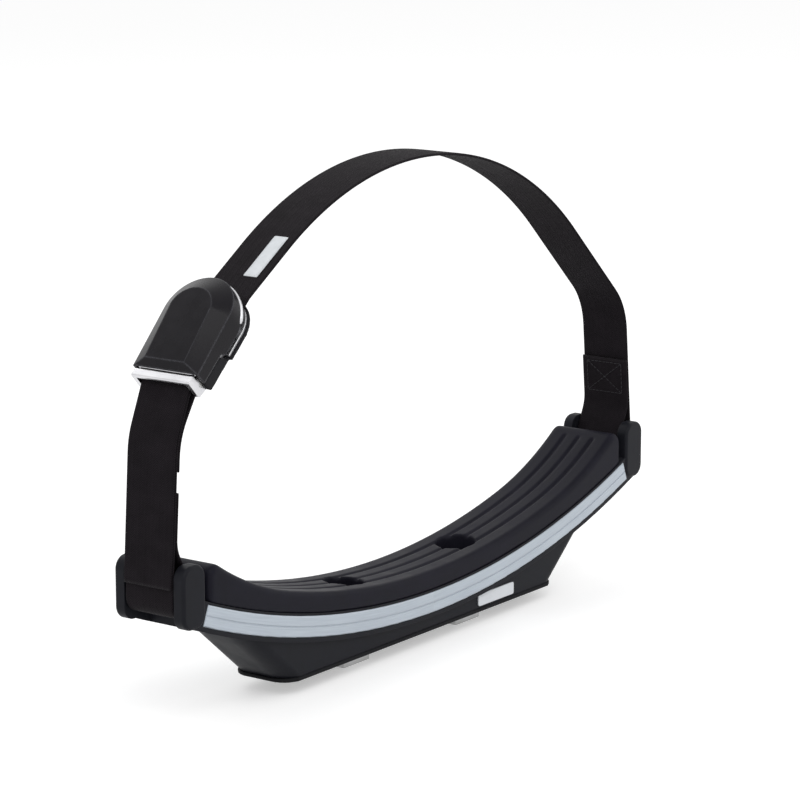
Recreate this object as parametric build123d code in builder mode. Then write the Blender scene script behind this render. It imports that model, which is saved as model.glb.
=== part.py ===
from build123d import *
from math import asin, atan2, copysign, cos, degrees, pi, radians, sin, sqrt, tan
import os

os.makedirs("parts", exist_ok=True)

# Saddle arc, seen from the front: X along the saddle, Z up from the gasket's underside
arc_centre_z = 639.5
trim_mid_radius = 620.0
trim_height = 13.0
trim_top_radius = trim_mid_radius - trim_height / 2
trim_bottom_radius = trim_mid_radius + trim_height / 2
deck_lip = 1.5
lower_lip = 3.0
deck_radius = trim_top_radius - deck_lip
rim_radius = trim_bottom_radius + lower_lip
deck_thickness = 3.5
saddle_depth = 50.0
wall = 5.0
seat_gap = 0.1
pick_tolerance = 0.1

# Strap horn at each end
horn_x = 235.0
horn_rise = 5.3
cheek_width = 20.0
cheek_height = 38.0
cheek_drop = 15.5
cheek_corner = 8.0
horn_depth = 52.0
drum_radius = 8.5
groove_width = 37.0
throat_reach = 13.5
horn_edge = 2.0

# Webbing
strap_width = 35.0
strap_thickness = 1.8
layer_gap = 0.25
layer_pitch = strap_thickness + layer_gap
half_strap = strap_thickness / 2
strap_seat = seat_gap + half_strap
loop_length = 37.0
anchor_sewn = 8.0
sewn_gap = 12.0
merge_radius = 20.0
tail_short_of_horn = 8.0

# Path of the tightened strap
crown_z = 300.0
crown_radius = 250.0
strap_slope = 43.0
strap_flat = 70.0
shoulder_radius = 45.0

# Saddle pad
pad_thickness = 12.0
pad_radius = 560.0
pad_bend_x = 140.0
pad_end_radius = 230.0
pad_end_gap = 1.5
pad_depth = 49.0
pad_edge = 3.5
pad_corner = 7.0
pad_groove_width = 3.0
pad_groove_depth = 1.5
pad_groove_pitch = 11.0
pad_groove_end = 14.0
lug_radius = 4.0
lug_length = 5.5
lug_clearance = 0.2
lug_end_inset = 29.0
lug_inner_x = 130.0

# Foot and gasket
gasket_thickness = 2.5
gasket_length = 291.0
gasket_width = 46.0
gasket_corner = 14.0
gasket_groove = 1.0
gasket_groove_width = 3.0
gasket_groove_ys = (-15.0, 15.0)
foot_bottom_length = 288.0
foot_top_length = 380.0
foot_top_z = 41.0
foot_depth = 44.0
foot_corner = 13.0
foot_wall = 3.0
foot_boss_radius = 8.0
foot_rib_xs = (-135.0, -85.0, -30.0, 0.0, 30.0, 85.0, 135.0)

# Badge
badge_x = 74.0
badge_z = 8.0
badge_length = 40.0
badge_height = 8.0
badge_thickness = 0.8
badge_corner = 1.5

# Trim
trim_recess = 2.5
trim_proud = 0.6
trim_end_gap = 0.5
trim_edge = 0.8
trim_line_width = 1.0
trim_line_depth = 0.5
trim_gap = 0.15
peg_radius = 2.5
peg_clearance = 0.15
peg_length = 2.2
peg_end_inset = 40.0
peg_inner_x = 100.0

# T bolts, washers and nuts
bolt_x = 60.0
bolt_radius = 4.0
bolt_clearance = 0.4
channel_lip = 5.0
head_thickness = 4.0
head_length = 26.0
head_width = 19.5
neck_width = 10.0
neck_height = 2.5
pocket_radius = 13.0
pocket_floor_z = 20.0
boss_radius = 16.0
washer_radius = 9.0
washer_thickness = 1.6
nut_across_flats = 13.0
nut_height = 6.5
nut_clearance = 0.05
thread_end = 1.8
thread_chamfer = 0.8

# Screws between foot and cradle
screw_xs = (-110.0, 110.0)
screw_ys = (-12.0, 12.0)
screw_radius = 2.0
screw_clearance = 0.2
screw_length = 18.0
screw_head_radius = 4.0
screw_head_height = 2.6
screw_head_clearance = 0.5
screw_boss_radius = 5.5
screw_seat_z = 14.0
driver_width = 1.4
driver_length = 4.6
driver_depth = 1.4

# Stiffening ribs under the deck
rib_thickness = 2.5
rib_block = 60.0
rib_end_inset = 14.5
rib_half_xs = (30.0, 85.0, 140.0, 164.0)
spine_thickness = 2.5

# Buckle, with u along the strap towards the crown and w out of the loop
boot_thickness = 2.0
boot_wall = 2.0
boot_gap = 0.2
boot_top_w = 8.0
boot_short = 7.0
boot_slope = 4.5
boot_margin = 1.4
base_thickness = 1.6
base_bottom_u = -25.5
cheek_thickness = 3.0
cheek_inner = 18.3
cheek_top_w = 13.0
cheek_top_u = 16.5
cheek_end_w = 9.6
cheek_round = 1.0
frame_bottom_u = -34.0
frame_top_u = 37.0
rim_half = 24.6
rim_start_u = -2.5
rim_gap = 1.0
bar_length = 5.5
bar_height = 3.0
bar_gap = 0.6
bar_round = 1.0
anchor_u = -27.0
pin_radius = 2.0
pin_clearance = 0.05
cam_u = 5.5
cam_offset_u = -2.0
cam_offset_w = -0.8
cam_radius = 5.0
cam_gap = 0.3
tooth_size = 1.0
tooth_count = 5
tooth_start = 240.0
tooth_sweep = 80.0
ramp_inset = 0.5
ramp_radius = 8.0

# Cam lever and its cover
lever_width = 35.6
web_length = 9.0
plate_thickness = 2.2
plate_slope = 3.0
plate_gap = 0.9
plate_bottom_u = -27.5
plate_length = 63.0
plate_width = 43.0
plate_corner = 3.0
cover_rise = 5.0
cover_slope = 3.0
cover_flank = 7.0
cover_nose = 10.0
cover_heel = 4.0
cover_inset = 0.3
skirt_wall = 2.1
skirt_gap = 0.6
skirt_low_gap = 1.6
skirt_step = 1.6
skirt_nose_w = 13.6
plate_clearance = 0.4

# Lever spring
wire_radius = 0.5
coil_radius = 3.0
coil_pitch = 1.2
coil_turns = 2.5
coil_start_y = 13.6
coil_room = 5.6
lever_leg = 11.0
lever_leg_lift = 8.0
frame_leg = 9.0
stop_radius = 1.2
stop_length = 2.0
stop_gap = 0.1

# Strap label
label_length = 36.0
label_width = 10.0
label_thickness = 0.5
label_along = 34.0
label_y = -7.0
label_gap = 0.05

# Derived places
deck_z = arc_centre_z - deck_radius
horn_z = arc_centre_z - sqrt(trim_mid_radius**2 - horn_x**2) + horn_rise
throat_x = horn_x - throat_reach
pad_end_x = throat_x - pad_end_gap
lug_outer_x = pad_end_x - lug_end_inset
lug_xs = (-lug_outer_x, -lug_inner_x, lug_inner_x, lug_outer_x)
trim_end_x = horn_x - cheek_width / 2 - trim_end_gap
peg_outer_x = trim_end_x - peg_end_inset
peg_xs = (-peg_outer_x, -peg_inner_x, 0, peg_inner_x, peg_outer_x)
rib_end_x = throat_x - rib_end_inset
rib_xs = [0, -rib_end_x, rib_end_x] + [side * x for x in rib_half_xs for side in (-1, 1)]
crown_centre_z = crown_z - crown_radius
slope = radians(strap_slope)
buckle_x = -crown_radius * sin(slope) - strap_flat / 2 * cos(slope)
buckle_z = crown_centre_z + crown_radius * cos(slope) - strap_flat / 2 * sin(slope)
bed_w = boot_thickness + base_thickness
strap_w = bed_w + strap_seat
anchor_line = pin_radius + strap_seat
anchor_w = bed_w + layer_gap + half_strap + anchor_line
cam_strap_radius = cam_radius + cam_gap + half_strap
cam_w = strap_w + cam_strap_radius - cam_offset_w
tail_top_w = anchor_w + anchor_line + layer_pitch + half_strap
bar_w = tail_top_w + bar_gap
plate_bottom_w = tail_top_w + plate_gap
plate_rise = (cam_u - plate_bottom_u) * tan(radians(plate_slope))
web_height = plate_bottom_w + plate_rise + plate_thickness / 2 - cam_w
base_length = frame_top_u - rim_half - base_bottom_u - cheek_round
cheek_outer = cheek_inner + cheek_thickness
boot_inner = cheek_outer + boot_gap
boot_outer = boot_inner + boot_wall
boot_half = rim_half + boot_margin
boot_end_u = rim_start_u - rim_gap
rim_centre_u = frame_top_u - rim_half
cover_half = plate_width / 2 + plate_clearance + skirt_wall
skirt_depth = plate_bottom_w + plate_rise
lift = radians(lever_leg_lift)
stop_reach = coil_radius + wire_radius + stop_gap + stop_radius
stop_u = cam_u + frame_leg * cos(lift) + stop_reach * sin(lift)
stop_w = cam_w + frame_leg * sin(lift) - stop_reach * cos(lift)
trim_back_y = saddle_depth / 2 - trim_recess
trim_front_y = saddle_depth / 2 + trim_proud
foot_reach = 2 * arc_centre_z
hollow_depth = foot_depth - 2 * foot_wall
nut_top_z = pocket_floor_z + washer_thickness + nut_height
rail_angle = degrees(asin(horn_x / trim_mid_radius))
hollow_angle = degrees(asin((throat_x - wall) / trim_mid_radius))
trim_angle = degrees(asin(trim_end_x / trim_mid_radius))
recess_angle = degrees(asin((trim_end_x + trim_gap) / trim_mid_radius))
horn_ends = (-horn_x, horn_x)
bolt_xs = (-bolt_x, bolt_x)
screw_places = [(x, y) for x in screw_xs for y in screw_ys]
up = (Align.CENTER, Align.CENTER, Align.MIN)
down = (Align.CENTER, Align.CENTER, Align.MAX)


def arc_z(radius, x):
    """Height of a saddle arc at x."""
    return arc_centre_z - sqrt(radius**2 - x**2)


def buckle_point(u, w):
    """Place in the front view of a point given in the buckle's own directions."""
    return (buckle_x + u * cos(slope) - w * sin(slope), buckle_z + u * sin(slope) + w * cos(slope))


def front_plane(origin, angle):
    """Upright plane seen from the front, its first direction at an angle to X."""
    return Plane(origin=(origin[0], 0, origin[1]), x_dir=(cos(angle), 0, sin(angle)), z_dir=(0, -1, 0))


def strap_plane(origin, angle):
    """Plane that faces out of the strap's loop, its first direction at an angle to X."""
    out = (-sin(angle), 0, cos(angle))
    return Plane(origin=(origin[0], 0, origin[1]), x_dir=(cos(angle), 0, sin(angle)), z_dir=out)


def tangent(first, second):
    """Ends of the straight run between two stations, each a centre, a radius and a turn."""
    (x1, z1), r1, turn1 = first
    (x2, z2), r2, turn2 = second
    run = sqrt((x2 - x1) ** 2 + (z2 - z1) ** 2)
    heading = atan2(z2 - z1, x2 - x1) + asin((turn1 * r1 - turn2 * r2) / run)
    start = (x1 + turn1 * r1 * sin(heading), z1 - turn1 * r1 * cos(heading))
    end = (x2 + turn2 * r2 * sin(heading), z2 - turn2 * r2 * cos(heading))
    return start, end


def beside(start, end, along, aside):
    """Point a distance along a run and a distance to its left."""
    run = sqrt((end[0] - start[0]) ** 2 + (end[1] - start[1]) ** 2)
    step = ((end[0] - start[0]) / run, (end[1] - start[1]) / run)
    return (start[0] + along * step[0] - aside * step[1], start[1] + along * step[1] + aside * step[0])


def shifted(stations, aside):
    """The same stations for a line that runs a distance to the left."""
    moved = [(centre, radius - turn * aside, turn) for centre, radius, turn in stations]
    first_start, first_end = tangent(stations[0], stations[1])
    last_start, last_end = tangent(stations[-2], stations[-1])
    moved[0] = (beside(first_start, first_end, 0, aside), 0, 0)
    moved[-1] = (beside(last_end, last_start, 0, -aside), 0, 0)
    return moved


def taut_line(stations):
    """Straight runs and arcs past the stations; gives both end points."""
    runs = [tangent(a, b) for a, b in zip(stations, stations[1:])]
    for start, end in runs:
        Line(start, end)
    for before, after, (centre, radius, turn) in zip(runs, runs[1:], stations[1:]):
        first = degrees(atan2(before[1][1] - centre[1], before[1][0] - centre[0]))
        last = degrees(atan2(after[0][1] - centre[1], after[0][0] - centre[0]))
        CenterArc(centre, radius, first, turn * ((turn * (last - first)) % 360))
    return runs[0][0], runs[-1][1]


def webbing_face(stations):
    """Edge-on outline of a strap."""
    with BuildLine() as outline:
        left_ends = taut_line(shifted(stations, half_strap))
        right_ends = taut_line(shifted(stations, -half_strap))
        Line(left_ends[0], right_ends[0])
        Line(left_ends[1], right_ends[1])
    make_face(outline.line)


def arc_band(inner_radius, outer_radius, half_angle):
    """Outline between two saddle arcs, cut off radially."""
    with BuildLine() as outline:
        lower = CenterArc((0, arc_centre_z), outer_radius, 270 - half_angle, 2 * half_angle)
        upper = CenterArc((0, arc_centre_z), inner_radius, 270 - half_angle, 2 * half_angle)
        Line(lower @ 0, upper @ 0)
        Line(lower @ 1, upper @ 1)
    make_face(outline.line)


def pad_top(below, end_x):
    """Upper line of the pad, or a line a distance below it; gives both end points."""
    main_z = deck_z + pad_thickness + pad_radius
    bend = asin(pad_bend_x / pad_radius)
    end_centre_x = pad_bend_x - pad_end_radius * sin(bend)
    end_centre_z = main_z - (pad_radius - pad_end_radius) * cos(bend)
    end_radius = pad_end_radius + below
    swing = degrees(asin((end_x - end_centre_x) / end_radius) - bend)
    bend = degrees(bend)
    CenterArc((0, main_z), pad_radius + below, 270 - bend, 2 * bend)
    right = CenterArc((end_centre_x, end_centre_z), end_radius, 270 + bend, swing)
    left = CenterArc((-end_centre_x, end_centre_z), end_radius, 270 - bend, -swing)
    return left @ 1, right @ 1


def lever_outline(side_inset, top_inset, bottom_inset):
    """Plan of the lever's plate, or of the cover round it."""
    straight = plate_length - plate_width / 2
    half = plate_width / 2 - side_inset
    with BuildLine() as outline:
        Polyline(
            (straight, half),
            (bottom_inset, half),
            (bottom_inset, -half),
            (straight, -half),
        )
        ThreePointArc((straight, -half), (plate_length - top_inset, 0), (straight, half))
    make_face(outline.line)


# Cradle
with BuildPart() as stiffeners:
    for x in rib_xs:
        with Locations((x, 0, arc_z(trim_mid_radius, x))):
            Box(rib_thickness, saddle_depth - wall, rib_block)
    with Locations((0, 0, horn_z)):
        Box(2 * throat_x - wall, spine_thickness, 2 * horn_z)
    with Locations(*[(x, 0, pocket_floor_z) for x in bolt_xs]):
        Cylinder(boss_radius, rib_block)
    with Locations(*[(x, y, arc_z(trim_mid_radius, x)) for x, y in screw_places]):
        Cylinder(screw_boss_radius, rib_block)
    with BuildSketch(Plane.XZ):
        arc_band(deck_radius + deck_thickness / 2, rim_radius, rail_angle)
    extrude(amount=saddle_depth / 2 - wall / 2, both=True, mode=Mode.INTERSECT)

with BuildPart() as horn_cheeks:
    with BuildSketch(Plane.XZ):
        with Locations(*[(x, horn_z - cheek_drop + cheek_height / 2) for x in horn_ends]):
            RectangleRounded(cheek_width, cheek_height, cheek_corner)
    extrude(amount=horn_depth / 2, both=True)
    fillet(horn_cheeks.faces().filter_by(Axis.Y).edges(), horn_edge)

with BuildPart() as cradle:
    with BuildSketch(Plane.XZ):
        arc_band(deck_radius, rim_radius, rail_angle)
    extrude(amount=saddle_depth / 2, both=True)
    with BuildSketch(Plane.XZ):
        arc_band(deck_radius + deck_thickness, rim_radius + wall, hollow_angle)
    extrude(amount=saddle_depth / 2 - wall, both=True, mode=Mode.SUBTRACT)
    add(stiffeners.part)
    add(horn_cheeks.part)
    for face_y in (trim_back_y, -horn_depth):
        with BuildSketch(Plane.XZ.offset(face_y)):
            arc_band(trim_top_radius - trim_gap, trim_bottom_radius + trim_gap, recess_angle)
        extrude(amount=horn_depth - trim_back_y, mode=Mode.SUBTRACT)
    with Locations(*[(x + copysign(throat_x - horn_x + horn_depth / 2, x), 0, horn_z) for x in horn_ends]):
        Box(horn_depth, groove_width, 2 * horn_z, mode=Mode.SUBTRACT)
    with BuildSketch(Plane.XZ):
        with Locations(*[(x, horn_z) for x in horn_ends]):
            Circle(drum_radius)
    extrude(amount=groove_width / 2 + horn_edge, both=True)
    with Locations(*[(x, 0, arc_z(deck_radius, x)) for x in lug_xs]):
        Cylinder(lug_radius + lug_clearance, 2 * lug_length + 2 * lug_clearance, mode=Mode.SUBTRACT)
    for side in (-1, 1):
        with Locations(*[(x, side * trim_back_y, arc_z(trim_mid_radius, x)) for x in peg_xs]):
            Cylinder(peg_radius + peg_clearance, 2 * trim_recess, rotation=(90, 0, 0), mode=Mode.SUBTRACT)
    with Locations(*[(x, 0, pocket_floor_z) for x in bolt_xs]):
        Cylinder(bolt_radius + bolt_clearance, rib_block, mode=Mode.SUBTRACT)
        Cylinder(pocket_radius, rib_block, align=up, mode=Mode.SUBTRACT)
    with Locations(*[(x, y, screw_seat_z) for x, y in screw_places]):
        Cylinder(
            screw_radius + screw_clearance,
            screw_length + screw_clearance,
            align=up,
            mode=Mode.SUBTRACT,
        )
cradle.part.label = "cradle"
export_step(cradle.part, "parts/cradle.step")

# Foot
with BuildPart() as foot_bosses:
    with Locations(*[(x, 0, gasket_thickness) for x in bolt_xs]):
        Cylinder(foot_boss_radius, rib_block, align=up)
    with Locations(*[(x, y, gasket_thickness) for x, y in screw_places]):
        Cylinder(foot_boss_radius, rib_block, align=up)
    with Locations(*[(x, 0, gasket_thickness) for x in foot_rib_xs]):
        Box(rib_thickness, foot_depth - foot_wall, rib_block, align=up)
    with BuildSketch(Plane.XZ):
        arc_band(rim_radius, foot_reach, rail_angle)
    extrude(amount=foot_depth / 2, both=True, mode=Mode.INTERSECT)

with BuildPart() as foot_hollow:
    with BuildSketch(Plane.XY.offset(gasket_thickness)):
        RectangleRounded(foot_bottom_length - 2 * foot_wall, hollow_depth, foot_corner - foot_wall)
    with BuildSketch(Plane.XY.offset(foot_top_z)):
        RectangleRounded(foot_top_length - 2 * foot_wall, hollow_depth, foot_corner - foot_wall)
    loft(ruled=True)
    with BuildSketch(Plane.XZ):
        arc_band(rim_radius + foot_wall, foot_reach, rail_angle)
    extrude(amount=foot_depth / 2, both=True, mode=Mode.INTERSECT)

with BuildPart() as foot:
    with BuildSketch(Plane.XY.offset(gasket_thickness)):
        RectangleRounded(foot_bottom_length, foot_depth, foot_corner)
    with BuildSketch(Plane.XY.offset(foot_top_z)):
        RectangleRounded(foot_top_length, foot_depth, foot_corner)
    loft(ruled=True)
    with BuildSketch(Plane.XZ):
        arc_band(rim_radius, foot_reach, rail_angle)
    extrude(amount=foot_depth, both=True, mode=Mode.INTERSECT)
    add(foot_hollow.part, mode=Mode.SUBTRACT)
    add(foot_bosses.part)
    with Locations(*[(x, 0, 0) for x in bolt_xs]):
        Cylinder(bolt_radius + bolt_clearance, rib_block, mode=Mode.SUBTRACT)
    with Locations(*[(x, y, 0) for x, y in screw_places]):
        Cylinder(screw_radius + screw_clearance, rib_block, mode=Mode.SUBTRACT)
        Cylinder(screw_head_radius + screw_head_clearance, screw_seat_z, align=up, mode=Mode.SUBTRACT)
foot.part.label = "foot"
export_step(foot.part, "parts/foot.step")

# Foot gasket
with BuildPart() as foot_gasket:
    with BuildSketch(Plane.XY):
        RectangleRounded(gasket_length, gasket_width, gasket_corner)
        with Locations(*[(x, 0) for x in bolt_xs]):
            Circle(bolt_radius + bolt_clearance, mode=Mode.SUBTRACT)
    extrude(amount=gasket_thickness)
    with BuildSketch(Plane.XY):
        with Locations(*[(0, y) for y in gasket_groove_ys]):
            SlotOverall(gasket_length - gasket_width, gasket_groove_width)
    extrude(amount=gasket_groove, mode=Mode.SUBTRACT)
foot_gasket.part.label = "foot_gasket"
export_step(foot_gasket.part, "parts/foot_gasket.step")

# Saddle pad
with BuildPart() as saddle_pad:
    with BuildSketch(Plane.XZ):
        with BuildLine():
            lean = degrees(asin(pad_end_x / deck_radius))
            under = CenterArc((0, arc_centre_z), deck_radius, 270 - lean, 2 * lean)
            top_left, top_right = pad_top(0, pad_end_x)
            Line(under @ 0, top_left)
            Line(under @ 1, top_right)
        make_face()
    extrude(amount=pad_depth / 2, both=True)
    corners = saddle_pad.edges().filter_by(Axis.Y).sort_by(Axis.Z)[-2:]
    fillet(corners, pad_corner)
    tops = [e for e in saddle_pad.edges() if abs(abs(e.center().Y) - pad_depth / 2) < pick_tolerance]
    tops = [e for e in tops if e.center().Z > arc_z(deck_radius, e.center().X) + pad_thickness / 2]
    fillet([e for e in tops if abs(e.center().X) < pad_end_x - pick_tolerance], pad_edge)
    for step in (-1, 0, 1):
        with BuildSketch(Plane.XZ.offset(step * pad_groove_pitch - pad_groove_width / 2)):
            with BuildLine():
                low_left, low_right = pad_top(pad_groove_depth, pad_end_x - pad_groove_end)
                high_left, high_right = pad_top(-pad_groove_depth, pad_end_x - pad_groove_end)
                Line(low_left, high_left)
                Line(low_right, high_right)
            make_face()
        extrude(amount=pad_groove_width, mode=Mode.SUBTRACT)
    with Locations(*[(x, 0, deck_z) for x in bolt_xs]):
        Cylinder(pocket_radius, rib_block, mode=Mode.SUBTRACT)
    with Locations(*[(x, 0, arc_z(deck_radius, x)) for x in lug_xs]):
        Cylinder(lug_radius, 2 * lug_length)
saddle_pad.part.label = "saddle_pad"
export_step(saddle_pad.part, "parts/saddle_pad.step")

# Front trim
peg_back_y = trim_back_y - peg_length
with BuildPart() as front_trim:
    with BuildSketch(Plane.XZ.offset(trim_back_y)):
        arc_band(trim_top_radius, trim_bottom_radius, trim_angle)
    extrude(amount=trim_front_y - trim_back_y)
    fillet(front_trim.faces().sort_by(Axis.Y)[0].edges(), trim_edge)
    with BuildSketch(Plane.XZ.offset(trim_front_y)):
        arc_band(trim_mid_radius - trim_line_width / 2, trim_mid_radius + trim_line_width / 2, trim_angle)
    extrude(amount=-trim_line_depth, mode=Mode.SUBTRACT)
    with BuildSketch(Plane.XZ.offset(peg_back_y)):
        with Locations(*[(x, arc_z(trim_mid_radius, x)) for x in peg_xs]):
            Circle(peg_radius)
    extrude(amount=peg_length)
front_trim.part.label = "front_trim"
export_step(front_trim.part, "parts/front_trim.step")

# Rear trim
with BuildPart() as rear_trim:
    with BuildSketch(Plane.XZ.offset(-trim_back_y)):
        arc_band(trim_top_radius, trim_bottom_radius, trim_angle)
    extrude(amount=trim_back_y - trim_front_y)
    fillet(rear_trim.faces().sort_by(Axis.Y)[-1].edges(), trim_edge)
    with BuildSketch(Plane.XZ.offset(-trim_front_y)):
        arc_band(trim_mid_radius - trim_line_width / 2, trim_mid_radius + trim_line_width / 2, trim_angle)
    extrude(amount=trim_line_depth, mode=Mode.SUBTRACT)
    with BuildSketch(Plane.XZ.offset(-peg_back_y)):
        with Locations(*[(x, arc_z(trim_mid_radius, x)) for x in peg_xs]):
            Circle(peg_radius)
    extrude(amount=-peg_length)
rear_trim.part.label = "rear_trim"
export_step(rear_trim.part, "parts/rear_trim.step")

# Badge
with BuildPart() as badge:
    with BuildSketch(Plane.XZ.offset(foot_depth / 2)):
        with Locations((badge_x, badge_z)):
            RectangleRounded(badge_length, badge_height, badge_corner)
    extrude(amount=badge_thickness)
badge.part.label = "badge"
export_step(badge.part, "parts/badge.step")

# T bolts, washers and nuts
with BuildPart() as t_bolts:
    with Locations(*[(x, 0, -channel_lip) for x in bolt_xs]):
        Box(head_length, head_width, head_thickness, align=down)
        Box(neck_width, neck_width, neck_height, align=up)
        Cylinder(
            bolt_radius,
            channel_lip + nut_top_z + thread_end,
            align=up,
        )
    chamfer(t_bolts.edges().group_by(Axis.Z)[-1], thread_chamfer)
t_bolts.part.label = "t_bolts"
export_step(t_bolts.part, "parts/t_bolts.step")

with BuildPart() as t_bolt_washers:
    with BuildSketch(Plane.XY.offset(pocket_floor_z)):
        with Locations(*[(x, 0) for x in bolt_xs]):
            Circle(washer_radius)
            Circle(bolt_radius + bolt_clearance, mode=Mode.SUBTRACT)
    extrude(amount=washer_thickness)
t_bolt_washers.part.label = "t_bolt_washers"
export_step(t_bolt_washers.part, "parts/t_bolt_washers.step")

with BuildPart() as t_bolt_nuts:
    with BuildSketch(Plane.XY.offset(pocket_floor_z + washer_thickness)):
        with Locations(*[(x, 0) for x in bolt_xs]):
            RegularPolygon(nut_across_flats / 2, 6, major_radius=False)
            Circle(bolt_radius + nut_clearance, mode=Mode.SUBTRACT)
    extrude(amount=nut_height)
t_bolt_nuts.part.label = "t_bolt_nuts"
export_step(t_bolt_nuts.part, "parts/t_bolt_nuts.step")

# Screws between foot and cradle
with BuildPart() as foot_screws:
    with Locations(*[(x, y, screw_seat_z) for x, y in screw_places]):
        Cylinder(screw_radius, screw_length, align=up)
        Cylinder(screw_head_radius, screw_head_height, align=down)
    with Locations(*[(x, y, screw_seat_z - screw_head_height) for x, y in screw_places]):
        Box(
            driver_length,
            driver_width,
            driver_depth,
            align=up,
            mode=Mode.SUBTRACT,
        )
        Box(
            driver_width,
            driver_length,
            driver_depth,
            align=up,
            mode=Mode.SUBTRACT,
        )
foot_screws.part.label = "foot_screws"
export_step(foot_screws.part, "parts/foot_screws.step")

# Strap stations, each a centre, a radius and a turn: 1 to the left, -1 to the right, 0 for an end
drum_line = drum_radius + strap_seat
shoulder_centre = buckle_point(-strap_flat / 2, -shoulder_radius)
far_shoulder_centre = (-shoulder_centre[0], shoulder_centre[1])
inner_layer = shoulder_radius + half_strap
load_layer = inner_layer + layer_pitch
anchor = buckle_point(anchor_u, anchor_w)
cam_centre = buckle_point(cam_u + cam_offset_u, cam_w + cam_offset_w)
ramp = (buckle_point(frame_top_u - ramp_inset, strap_w - ramp_radius), ramp_radius, -1)
crown = ((0, crown_centre_z), crown_radius + half_strap, -1)
near_horn = ((-horn_x, horn_z), drum_line, 1)
far_horn = ((horn_x, horn_z), drum_line, -1)

# Short strap
near_load = (shoulder_centre, load_layer, 1)
side_top, side_bottom = tangent(near_load, near_horn)
side_length = sqrt((side_top[0] - side_bottom[0]) ** 2 + (side_top[1] - side_bottom[1]) ** 2)
sewn_length = side_length - loop_length - anchor_sewn - sewn_gap
near_inner = (shoulder_centre, inner_layer, -1)
near_merge = (beside(side_bottom, side_top, loop_length, -layer_pitch - merge_radius), merge_radius, -1)
near_sewn_end = (beside(side_bottom, side_top, loop_length + sewn_length, -layer_pitch), 0, 0)
anchor_sewn_end = (beside(side_top, side_bottom, anchor_sewn, layer_pitch), 0, 0)
short_line = [
    anchor_sewn_end,
    near_inner,
    (anchor, anchor_line, 1),
    near_load,
    near_horn,
    near_merge,
    near_sewn_end,
]
with BuildPart() as short_strap:
    with BuildSketch(Plane.XZ):
        webbing_face(short_line)
    extrude(amount=strap_width / 2, both=True)
short_strap.part.label = "short_strap"
export_step(short_strap.part, "parts/short_strap.step")

# Long strap
far_load = (far_shoulder_centre, inner_layer, -1)
far_top, far_bottom = tangent(far_load, far_horn)
far_merge = (beside(far_bottom, far_top, loop_length, layer_pitch + merge_radius), merge_radius, 1)
far_sewn_end = (beside(far_bottom, far_top, loop_length + sewn_length, layer_pitch), 0, 0)
long_line = [
    (beside(side_bottom, side_top, tail_short_of_horn, layer_pitch), 0, 0),
    (shoulder_centre, load_layer + layer_pitch, -1),
    (anchor, anchor_line + layer_pitch, -1),
    (cam_centre, cam_strap_radius, 1),
    ramp,
    crown,
    far_load,
    far_horn,
    far_merge,
    far_sewn_end,
]
with BuildPart() as long_strap:
    with BuildSketch(Plane.XZ):
        webbing_face(long_line)
    extrude(amount=strap_width / 2, both=True)
long_strap.part.label = "long_strap"
export_step(long_strap.part, "parts/long_strap.step")

# Strap label
ramp_start, ramp_end = tangent(ramp, crown)
label_middle = beside(ramp_start, ramp_end, label_along, half_strap + label_gap)
label_run = (ramp_end[0] - ramp_start[0], 0, ramp_end[1] - ramp_start[1])
label_place = (label_middle[0], label_y, label_middle[1])
with BuildPart() as strap_label:
    with BuildSketch(Plane(origin=label_place, x_dir=label_run, z_dir=(0, -1, 0))):
        Rectangle(label_length, label_thickness, align=(Align.CENTER, Align.MIN))
    extrude(amount=label_width / 2, both=True)
strap_label.part.label = "strap_label"
export_step(strap_label.part, "parts/strap_label.step")

# Buckle frame
side_plane = front_plane((buckle_x, buckle_z), slope)
bed_plane = strap_plane((buckle_x, buckle_z), slope)
with BuildPart() as buckle_frame:
    for cheek_y in (cheek_inner, -cheek_outer):
        with BuildSketch(side_plane.offset(cheek_y)) as cheek:
            with BuildLine():
                Polyline(
                    (frame_bottom_u, bed_w),
                    (frame_bottom_u, bar_w + bar_height),
                    (frame_bottom_u + bar_length, bar_w + bar_height),
                    (frame_bottom_u + bar_length, cheek_top_w),
                    (cam_u + 2 * pin_radius, cheek_top_w),
                    (cheek_top_u, cheek_end_w),
                    (cheek_top_u, boot_thickness),
                    (base_bottom_u, boot_thickness),
                    close=True,
                )
            make_face()
            fillet(cheek.vertices(), cheek_round)
            with Locations((cam_u, cam_w), (anchor_u, anchor_w)):
                Circle(pin_radius + pin_clearance, mode=Mode.SUBTRACT)
        extrude(amount=cheek_thickness)
    with BuildSketch(side_plane):
        with Locations((frame_bottom_u + bar_length / 2, bar_w + bar_height / 2)):
            RectangleRounded(bar_length, bar_height, bar_round)
    extrude(amount=cheek_inner, both=True)
    with BuildSketch(bed_plane.offset(boot_thickness)):
        with Locations((rim_centre_u, 0)):
            Rectangle(base_length, 2 * cheek_inner, align=(Align.MAX, Align.CENTER))
            Rectangle(rim_centre_u - rim_start_u, 2 * rim_half, align=(Align.MAX, Align.CENTER))
            Circle(rim_half)
    extrude(amount=base_thickness)
    with BuildSketch(side_plane.offset(-cheek_inner)):
        with Locations((stop_u, stop_w)):
            Circle(stop_radius)
    extrude(amount=stop_length)
buckle_frame.part.label = "buckle_frame"
export_step(buckle_frame.part, "parts/buckle_frame.step")

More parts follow.
